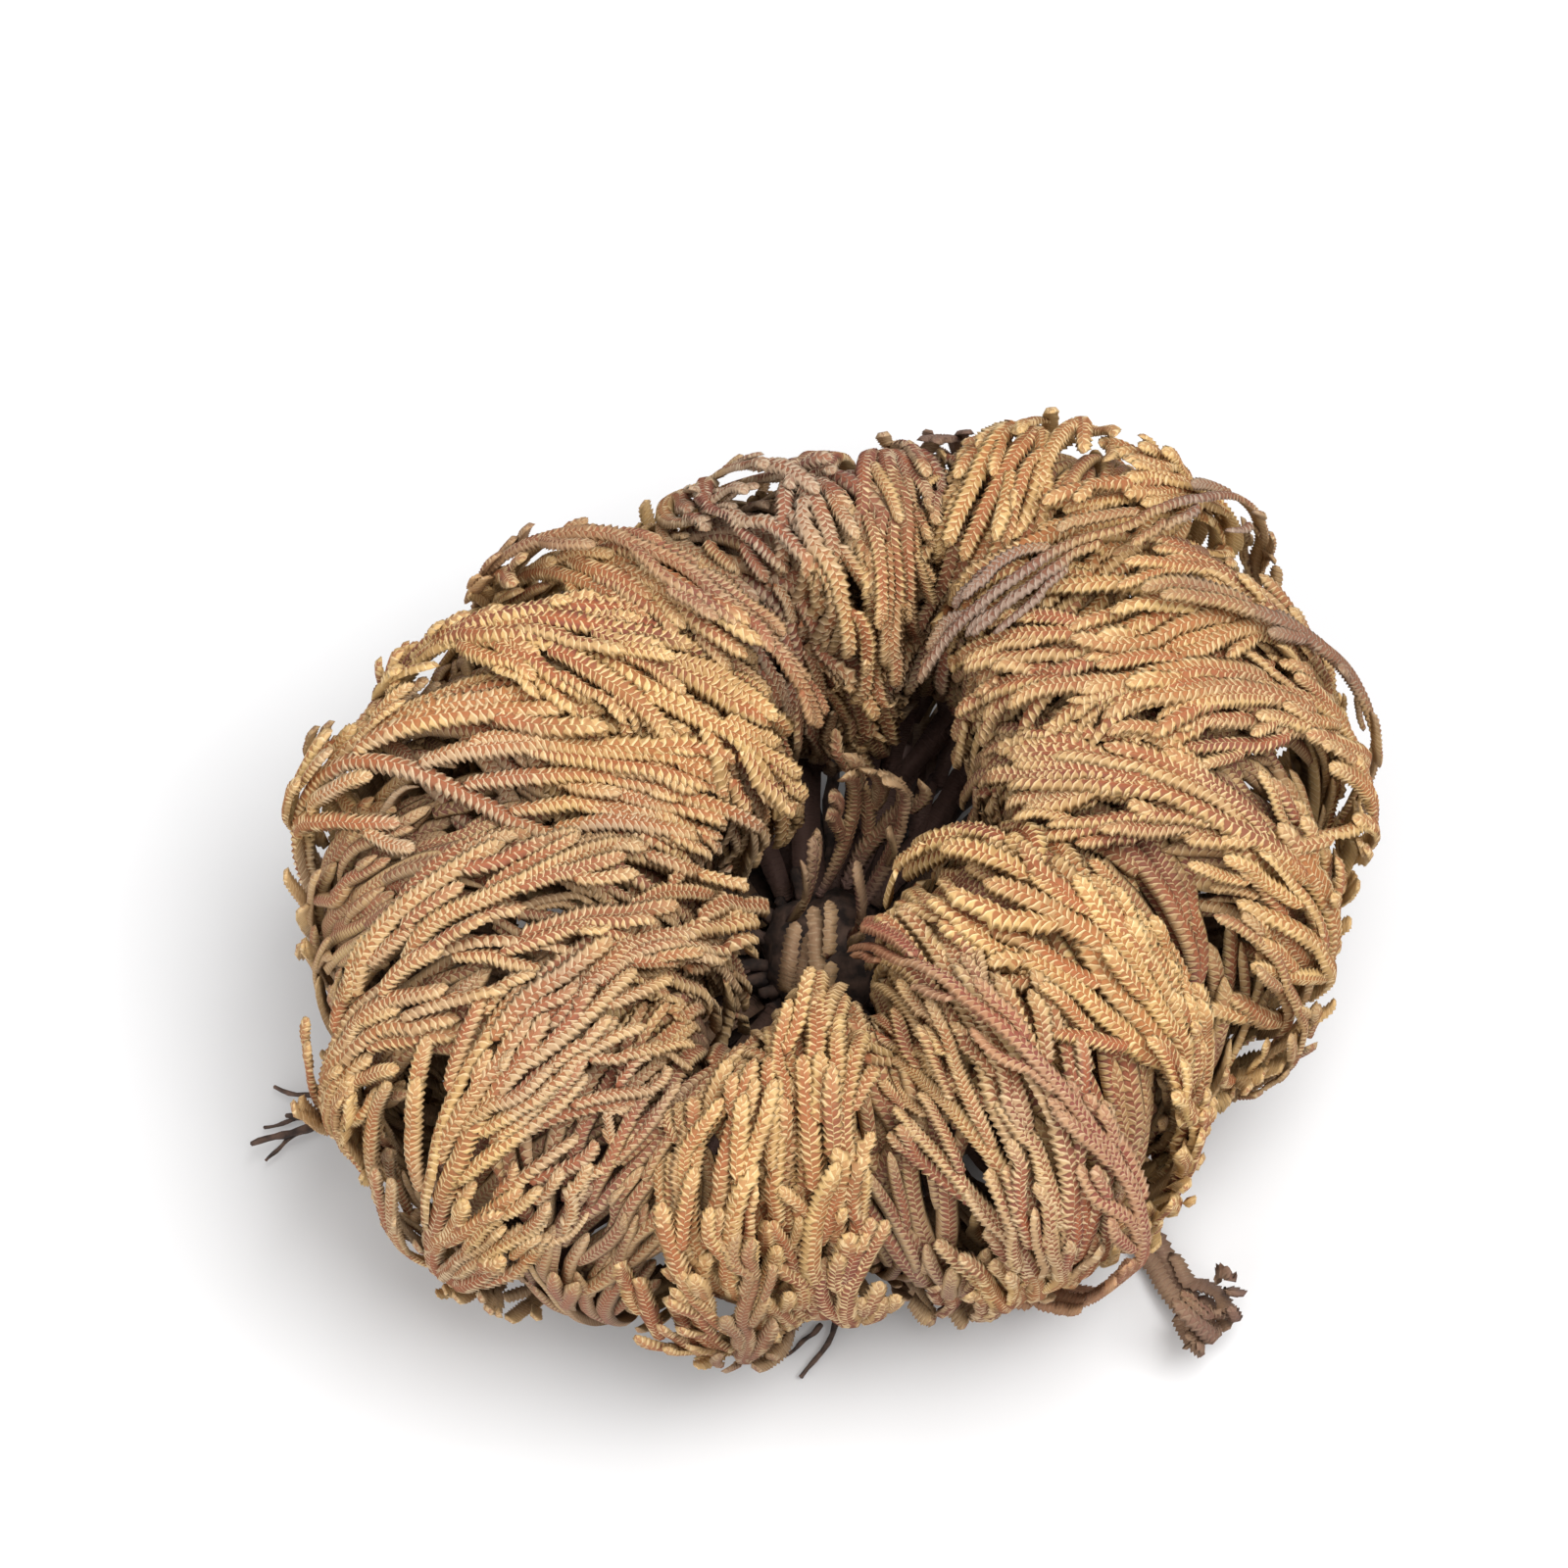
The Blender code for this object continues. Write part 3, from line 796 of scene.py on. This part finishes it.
def tube_mesh(parts, points, start_radius, end_radius, sides=5):
    """Adds a thin round twig through points to the mesh."""
    points = np.array(points, dtype=float)
    far = running_length(points)
    share = far / far[-1]
    ahead = unit(np.gradient(points, axis=0))
    side = unit(np.cross(ahead, (0.0, 0.0, 1.0)))
    up = np.cross(side, ahead)
    radius = start_radius + (end_radius - start_radius) * share
    radius = radius * (1.0 + 0.16 * np.sin(far * 2.6 + points[0, 0]))
    rings = []
    for k in range(sides):
        turn = 2 * math.pi * k / sides
        rings.append(points + radius[:, None] * (math.cos(turn) * side + math.sin(turn) * up))
    ring_points = np.stack(rings, 1)
    ends = np.stack((points[0] - 0.1 * ahead[0], points[-1] + 0.5 * radius[-1] * ahead[-1]))
    all_points = np.concatenate((ring_points.reshape(-1, 3), ends))
    all_points[:, 2] = np.maximum(all_points[:, 2], LOWEST)
    leaf = np.zeros((len(all_points), 3))
    leaf[:-2, 1] = np.repeat(far, sides)
    tint = np.zeros((len(all_points), 3))
    tint[:-2, 1] = np.repeat(share, sides)
    quads, triangles = tube_faces(len(points), sides)
    round_it = 2 * math.pi * start_radius
    parts.add(all_points, quads[:, ::-1], triangles[:, ::-1], leaf, tint, far, round_it, True)


def wiry_line(start, end, rng, bow, steps=18):
    """Points of a thin root from start to end that wanders a little on the way."""
    start, end = np.array(start, dtype=float), np.array(end, dtype=float)
    share = np.linspace(0.0, 1.0, steps)
    points = start + (end - start) * share[:, None]
    length = np.linalg.norm(end - start)
    side = unit(np.cross(end - start, (0.0, 0.0, 1.0)))
    wander = bow * length * np.sin(math.pi * share) * rng.uniform(-1.0, 1.0)
    ripple = np.sin(share * rng.uniform(9.0, 15.0) + rng.uniform(0.0, 6.0))
    wander += 0.02 * length * ripple * eased(share * 4.0)
    points = points + wander[:, None] * side
    points[:, 2] += 0.02 * length * np.sin(math.pi * share) * rng.uniform(0.2, 1.0)
    return points


# How red, grey, aged and bare of leaves the fronds look, from 0 to 1; on the middle and inner fronds the
# aged value also carries painted shade
Look = namedtuple("Look", "red grey aged bare")
OLD_LOOKS = tuple(Look(*row) for row in (
    (0.3, 0.9, 0.62, 0.0), (0.4, 1.0, 0.48, 0.0), (0.2, 0.5, 0.85, 0.0), (0.7, 0.3, 0.30, 0.25),
    (0.3, 0.8, 0.70, 0.0), (0.3, 0.5, 0.60, 0.0), (1.0, 0.3, 0.10, 0.65), (0.5, 0.5, 0.40, 0.0),
))
HEART_LOOK = Look(1.0, 0.0, 0.75, 0.0)
BROKEN_LOOK = Look(0.10, 0.10, 0.90, 0.0)

BARE_STEM = (0.23, 0.055, 0.045, 1.0)
STRAW = (0.40, 0.235, 0.088, 1.0)
LIGHT_STRAW = (0.58, 0.385, 0.155, 1.0)
TAN = (0.32, 0.18, 0.085, 1.0)
PALE_TIP = (0.62, 0.41, 0.18, 1.0)
GREY_STRAW = (0.40, 0.285, 0.205, 1.0)
ORANGE_WEDGE = (0.33, 0.125, 0.038, 1.0)
WINE_WEDGE = (0.16, 0.032, 0.022, 1.0)
MIDLINE = (0.33, 0.090, 0.030, 1.0)
CREAM_LIP = (0.76, 0.56, 0.31, 1.0)
GREY_LIP = (0.60, 0.49, 0.38, 1.0)
SPECK = (0.20, 0.11, 0.06, 1.0)
# Dark brown of old leaves, which also paints the shade of the deeper layers
OLD_LEAF_AND_SHADE = (0.125, 0.070, 0.055, 1.0)
DARK_BARK = (0.022, 0.013, 0.010, 1.0)
LIGHT_BARK = (0.115, 0.066, 0.046, 1.0)
FLOOR_COLOUR = (0.62, 0.62, 0.625, 1.0)


def new_material(name, roughness):
    material = bpy.data.materials.new(name)
    material.use_nodes = True
    shader = material.node_tree.nodes["Principled BSDF"]
    shader.inputs["Roughness"].default_value = roughness
    return material, material.node_tree.nodes, material.node_tree.links, shader


def add_noise(nodes, links, scale, detail):
    place = nodes.new("ShaderNodeTexCoord")
    node = nodes.new("ShaderNodeTexNoise")
    node.inputs["Scale"].default_value = scale
    node.inputs["Detail"].default_value = detail
    links.new(place.outputs["Object"], node.inputs["Vector"])
    return node.outputs[0]


def add_bump(nodes, links, shader, height, strength, distance):
    bump = nodes.new("ShaderNodeBump")
    bump.inputs["Strength"].default_value = strength
    bump.inputs["Distance"].default_value = distance
    links.new(height, bump.inputs["Height"])
    links.new(bump.outputs["Normal"], shader.inputs["Normal"])


def scale_material(name, look):
    """Dry scale leaves: cream lips, straw blades and wine-red wedges between them."""
    material, nodes, links, shader = new_material(name, 0.72)
    shader.inputs["Specular IOR Level"].default_value = 0.28

    def plug(socket, value):
        if isinstance(value, bpy.types.NodeSocket):
            links.new(value, socket)
        else:
            socket.default_value = value

    def fill(node, values):
        for socket, value in zip(node.inputs, values):
            plug(socket, value)

    def maths(operation, *values):
        node = nodes.new("ShaderNodeMath")
        node.operation = operation
        fill(node, values)
        return node.outputs[0]

    def plus(first, second):
        return maths("ADD", first, second)

    def minus(first, second):
        return maths("SUBTRACT", first, second)

    def times(first, second):
        return maths("MULTIPLY", first, second)

    def varied(value, size):
        return times(minus(value, 0.5), size)

    def ramp(value, low, high, to_low=0.0, to_high=1.0):
        node = nodes.new("ShaderNodeMapRange")
        node.interpolation_type = "SMOOTHSTEP"
        fill(node, (value, low, high, to_low, to_high))
        return node.outputs[0]

    def blended(share, first, second):
        node = nodes.new("ShaderNodeMix")
        node.data_type = "RGBA"
        plug(node.inputs["Factor"], share)
        plug(node.inputs["A"], first)
        plug(node.inputs["B"], second)
        return node.outputs["Result"]

    def noise(scale, detail=2.0):
        return add_noise(nodes, links, scale, detail)

    def attribute(title):
        node = nodes.new("ShaderNodeAttribute")
        node.attribute_name = title
        split = nodes.new("ShaderNodeSeparateXYZ")
        links.new(node.outputs["Vector"], split.inputs[0])
        return split.outputs

    from_crest, along, side = attribute("leaf")
    strand_random, tip, near_crown = attribute("tint")
    is_left = maths("LESS_THAN", side, 0.0)
    second_random = maths("FRACT", times(strand_random, 7.31))
    phase = minus(along, times(from_crest, LEAF_SLANT))
    phase = minus(phase, times(is_left, 0.5))
    phase = maths("FRACT", plus(phase, varied(noise(620.0, 1.0), 0.8)))

    patches = noise(170.0, 3.0)
    blotches = noise(48.0, 2.0)
    specks = noise(1500.0, 2.0)

    # The wedge opens behind a leaf's lip near the crest and closes towards the margin
    wedge_length = ramp(from_crest, 0.10, 0.95, 0.74, 0.05)
    wedge_length = plus(wedge_length, varied(patches, 1.3))
    wedge_length = plus(wedge_length, varied(second_random, 0.4))
    wedge_start = minus(wedge_length, 0.12)
    wedge = ramp(phase, wedge_start, plus(wedge_length, 0.05), 1.0, 0.0)
    wedge = times(wedge, ramp(phase, 0.0, 0.09))
    wedge = times(wedge, ramp(from_crest, 0.0, 0.09, 0.3, 1.0))
    wedge = times(wedge, ramp(from_crest, 1.1, 0.85))
    wedge = times(wedge, ramp(tip, 0.2, 1.0, 1.0, 0.45))
    lip = times(ramp(phase, 0.72, 0.95), ramp(from_crest, 1.6, 1.0))

    straw = blended(ramp(patches, 0.35, 0.65), STRAW, LIGHT_STRAW)
    straw = blended(ramp(strand_random, 0.3, 1.0, 0.0, 0.6), straw, TAN)
    straw = blended(times(ramp(tip, 0.0, 1.0), 0.55), straw, PALE_TIP)
    grey_share = times(ramp(blotches, 0.38, 0.60), look.grey)
    straw = blended(grey_share, straw, GREY_STRAW)
    red_share = plus(times(ramp(blotches, 0.40, 0.58), look.red), look.red * 0.3)
    red_share = plus(red_share, varied(second_random, 0.6))
    wedge_colour = blended(red_share, ORANGE_WEDGE, WINE_WEDGE)
    colour = blended(times(wedge, 0.92), straw, wedge_colour)
    midline = times(ramp(from_crest, 0.1, 0.65, 1.0, 0.0), ramp(noise(85.0), 0.38, 0.56))
    midline = times(midline, ramp(second_random, 0.1, 0.9, 0.15, 0.85))
    midline = times(midline, 0.55 + 0.45 * look.red)
    colour = blended(midline, colour, MIDLINE)
    lip_colour = blended(grey_share, CREAM_LIP, GREY_LIP)
    colour = blended(times(lip, 0.7), colour, lip_colour)
    colour = blended(times(ramp(specks, 0.58, 0.75), 0.35), colour, SPECK)
    # Darker near the crown and where a frond is aged; on the middle and inner layers this darkening also
    # holds painted shade
    old = plus(times(near_crown, 0.8), look.aged)
    old = times(old, ramp(blotches, 0.25, 0.7, 0.6, 1.15))
    colour = blended(old, colour, OLD_LEAF_AND_SHADE)
    if look.bare:
        bare_share = times(ramp(blotches, 0.35, 0.6, 1.0, 0.5), look.bare)
        colour = blended(bare_share, colour, BARE_STEM)
    links.new(colour, shader.inputs["Base Color"])

    height = plus(times(wedge, -1.0), times(specks, 0.5))
    height = plus(height, times(lip, 0.4))
    add_bump(nodes, links, shader, height, 0.6, 0.00025)
    return material


MATERIALS = {}
# How much redder, greyer and darker the fronds of a layer are than their lobe; the darkening is added to
# their aged value and is painted shade on the deeper layers, which lie under the others
LAYER_TONES = {
    "outer_frond": (0.0, 0.0, 0.0),
    "middle_frond": (0.15, -0.05, 0.16),
    "inner_frond": (0.35, -0.20, 0.36),
}


def frond_material(layer, number, frond):
    """The material of a frond: its own for an old frond, else shared by one layer and lobe."""
    lobe = lobe_at(frond.azimuth)
    if layer.name == "old_frond":
        return scale_material(f"old_frond_{number}", OLD_LOOKS[number - 1])
    # The third tone is painted shade: the middle and inner layers are darkened as if shaded by the
    # layers over them
    more_red, more_grey, deeper_layer_shade = LAYER_TONES[layer.name]
    look = Look(
        min(1.0, lobe.red + more_red),
        min(1.0, max(0.0, lobe.grey + more_grey)),
        min(0.8, lobe.aged + deeper_layer_shade),
        0.0,
    )
    key = f"{layer.slot}_{lobe.azimuth}"
    if key not in MATERIALS:
        MATERIALS[key] = scale_material(key, look)
    return MATERIALS[key]


def bark_material(name):
    """Dark brown, finely mottled bark of the crown and its roots."""
    material, nodes, links, shader = new_material(name, 0.85)
    noise = add_noise(nodes, links, 700.0, 3.0)
    ramp = nodes.new("ShaderNodeValToRGB")
    ramp.color_ramp.elements[0].position = 0.35
    ramp.color_ramp.elements[0].color = DARK_BARK
    ramp.color_ramp.elements[1].position = 0.68
    ramp.color_ramp.elements[1].color = LIGHT_BARK
    links.new(noise, ramp.inputs["Fac"])
    links.new(ramp.outputs["Color"], shader.inputs["Base Color"])
    add_bump(nodes, links, shader, noise, 0.7, 0.0003)
    return material


# The crown's radius and height from its top to the floor, with the number, start and size of
# the lumps round it; and how many thin roots and short stubs it has
CROWN_PROFILE = np.array((
    (0.55, 18.2), (4.2, 18.0), (6.4, 16.2), (7.2, 13.2), (6.6, 9.5), (7.0, 6.0),
    (7.4, 3.6), (9.4, 2.0), (12.2, 1.6), (12.9, 0.9), (12.4, 0.0), (0.5, 0.0),
))
CROWN_TIP = (0.0, 0.0, 18.4)
ROOT_PAD_RADIUS = 13.0
CROWN_SIDES = 40
CROWN_LUMPS = ((5, 1.0, 0.05), (11, 0.0, 0.04), (17, 2.0, 0.03))
CROWN_ROOTS = 46
SHORT_STUBS = 30

# Stubs of old stalks under the ball, by row: turn, radius and height of their start, ranges for
# the swing, reach and height of their end, and their thickness
STALK_STUBS = 60
STUB_ROWS = (
    (0.0, 6.5, 3.6, (-6.0, 6.0), (27.0, 33.0), (2.2, 4.0), 1.6),
    (3.0, 7.0, 5.0, (-4.0, 10.0), (24.0, 30.0), (5.0, 7.5), 1.5),
)
STUB_END_RADIUS = 0.6


def crown_piece(rng):
    """The lumpy stem on its root pad, with stubs of old stalks and a mat of thin roots."""
    parts = MeshParts()
    turns = np.arange(CROWN_SIDES) * 2 * math.pi / CROWN_SIDES
    lumps = 1.0
    for count, start, size in CROWN_LUMPS:
        lumps = lumps + size * np.sin(count * turns + start)
    radius = CROWN_PROFILE[:, :1] * lumps
    height = np.repeat(CROWN_PROFILE[:, 1:], CROWN_SIDES, axis=1)
    rings = np.stack((radius * np.cos(turns), radius * np.sin(turns), height), -1)
    ends = np.array((CROWN_TIP, (0.0, 0.0, 0.0)))
    points = np.concatenate((rings.reshape(-1, 3), ends))
    quads, triangles = tube_faces(len(CROWN_PROFILE), CROWN_SIDES)
    zeros = np.zeros((len(points), 3))
    far = running_length(CROWN_PROFILE)
    round_it = 2 * math.pi * ROOT_PAD_RADIUS
    parts.add(points, quads[:, ::-1], triangles[:, ::-1], zeros, zeros, far, round_it, True)
    for k in range(CROWN_ROOTS):
        azimuth = 360.0 * (k + rng.uniform(0.0, 0.8)) / CROWN_ROOTS
        start = (*(direction(azimuth) * rng.uniform(5.5, 8.0)), rng.uniform(1.0, 3.0))
        end = (*(direction(azimuth + rng.uniform(-18.0, 18.0)) * rng.uniform(13.0, 22.0)), 0.6)
        tube_mesh(parts, wiry_line(start, end, rng, 0.15, 9), 0.55, 0.2, 4)
    for k in range(STALK_STUBS):
        azimuth = 360.0 * k / STALK_STUBS + rng.uniform(-2.0, 2.0)
        for turn, start_radius, start_height, swings, reaches, heights, thickness in STUB_ROWS:
            start = (*(direction(azimuth + turn) * start_radius), start_height)
            swung = direction(azimuth + rng.uniform(*swings))
            end = (*(swung * rng.uniform(*reaches)), rng.uniform(*heights))
            tube_mesh(parts, wiry_line(start, end, rng, 0.04, 9), thickness, STUB_END_RADIUS)
    for k in range(SHORT_STUBS):
        azimuth = 360.0 * k / SHORT_STUBS + rng.uniform(-5.0, 5.0)
        low = rng.uniform(5.0, 14.0)
        start = (*(direction(azimuth) * 5.8), low)
        end = (*(direction(azimuth) * rng.uniform(8.6, 11.0)), low + rng.uniform(0.5, 3.5))
        tube_mesh(parts, wiry_line(start, end, rng, 0.05, 6), 1.0, 0.7)
    return parts.build("crown_stem")


# The photograph: pixels per mm, and the pixel where the middle of the ball lies
PIXELS_PER_MM = 9.32
FRAME_PIXELS = 1600
BALL_PIXEL = (844, 893)
BALL_MIDDLE = Vector((0.0, 0.0, 31.0 * MM))
CAMERA_ELEVATION = 60.0
CAMERA_DISTANCE = 0.75
SENSOR = 36.0

# The lights: name, place in m, power in W and size in m; and the brightness of the world
LIGHTS = (
    ("key_light", (0.30, -0.16, 0.92), 11.8, 0.7),
    ("fill_light", (-0.45, -0.60, 0.55), 4.5, 0.8),
)
WORLD_STRENGTH = 0.69


def make_camera():
    tilt = math.radians(CAMERA_ELEVATION)
    up = Vector((0.0, math.sin(tilt), math.cos(tilt)))
    back = Vector((0.0, -math.cos(tilt), math.sin(tilt)))
    right_pixels = FRAME_PIXELS / 2 - BALL_PIXEL[0]
    up_pixels = BALL_PIXEL[1] - FRAME_PIXELS / 2
    aim = BALL_MIDDLE + (Vector((right_pixels, 0.0, 0.0)) + up * up_pixels) * (MM / PIXELS_PER_MM)
    data = bpy.data.cameras.new("camera")
    data.sensor_width = SENSOR
    data.lens = SENSOR * CAMERA_DISTANCE / (FRAME_PIXELS / PIXELS_PER_MM * MM)
    camera = bpy.data.objects.new("camera", data)
    camera.location = aim + back * CAMERA_DISTANCE
    camera.rotation_euler = (math.radians(90.0 - CAMERA_ELEVATION), 0.0, 0.0)
    bpy.context.scene.collection.objects.link(camera)
    bpy.context.scene.camera = camera


def make_stage():
    bpy.ops.mesh.primitive_plane_add(size=6.0)
    floor = bpy.context.object
    floor.name = "floor"
    material, _, _, shader = new_material("floor", 0.9)
    shader.inputs["Base Color"].default_value = FLOOR_COLOUR
    floor.data.materials.append(material)
    world = bpy.data.worlds.new("studio")
    world.use_nodes = True
    background = world.node_tree.nodes["Background"]
    background.inputs["Color"].default_value = (1.0, 1.0, 1.0, 1.0)
    background.inputs["Strength"].default_value = WORLD_STRENGTH
    bpy.context.scene.world = world
    bpy.context.scene.view_settings.view_transform = "Standard"
    for name, place, power, size in LIGHTS:
        data = bpy.data.lights.new(name, "AREA")
        data.energy = power
        data.size = size
        lamp = bpy.data.objects.new(name, data)
        lamp.location = place
        lamp.rotation_euler = (BALL_MIDDLE - Vector(place)).to_track_quat("-Z", "Y").to_euler()
        bpy.context.scene.collection.objects.link(lamp)


def place_piece(piece, node, material):
    """Gives a piece its material, and puts it in the place of its solid."""
    piece.data.materials.append(material)
    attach(piece, "root")
    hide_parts(node)


make_camera()
make_stage()
seed = 100
for layer in LAYERS:
    for number, frond in enumerate(layer.fronds, 1):
        seed += 1
        rng = np.random.default_rng(seed)
        habit = HABITS[layer.name]
        width = lobe_at(frond.azimuth).strand_width * habit.width_share
        node = f"{layer.name}_{number:02d}"
        path = FrondPath(layer, frond, habit.spread)
        path.length += LONGER[layer.name].get(number, 0.0)
        piece = fan_piece(f"{node}_leaves", path, width, habit, rng)
        place_piece(piece, node, frond_material(layer, number, frond))

heart_material = scale_material("heart_fronds", HEART_LOOK)
for number, azimuth in enumerate(HEART_AZIMUTHS, 1):
    rng = np.random.default_rng(500 + number)
    node = f"heart_frond_{number}"
    path = heart_path(azimuth)
    piece = fan_piece(f"{node}_leaves", path, HEART_STRAND_WIDTH, HABITS["heart_frond"], rng)
    place_piece(piece, node, heart_material)

path = SimplePath(BROKEN_PATH, BROKEN_ACROSS, BROKEN_HALF_WIDTH)
rng = np.random.default_rng(600)
piece = fan_piece("broken_frond_leaves", path, BROKEN_STRAND_WIDTH, HABITS["broken_frond"], rng)
place_piece(piece, "broken_frond", scale_material("broken_frond", BROKEN_LOOK))

root_material = bark_material("root_bark")
for name, runs in ROOT_RUNS.items():
    rng = np.random.default_rng(len(name))
    parts = MeshParts()
    for start, end, start_radius, end_radius in runs:
        tube_mesh(parts, wiry_line(start, end, rng, 0.10), start_radius, end_radius)
    place_piece(parts.build(f"{name}_roots"), name, root_material)
place_piece(crown_piece(np.random.default_rng(700)), "crown", root_material)
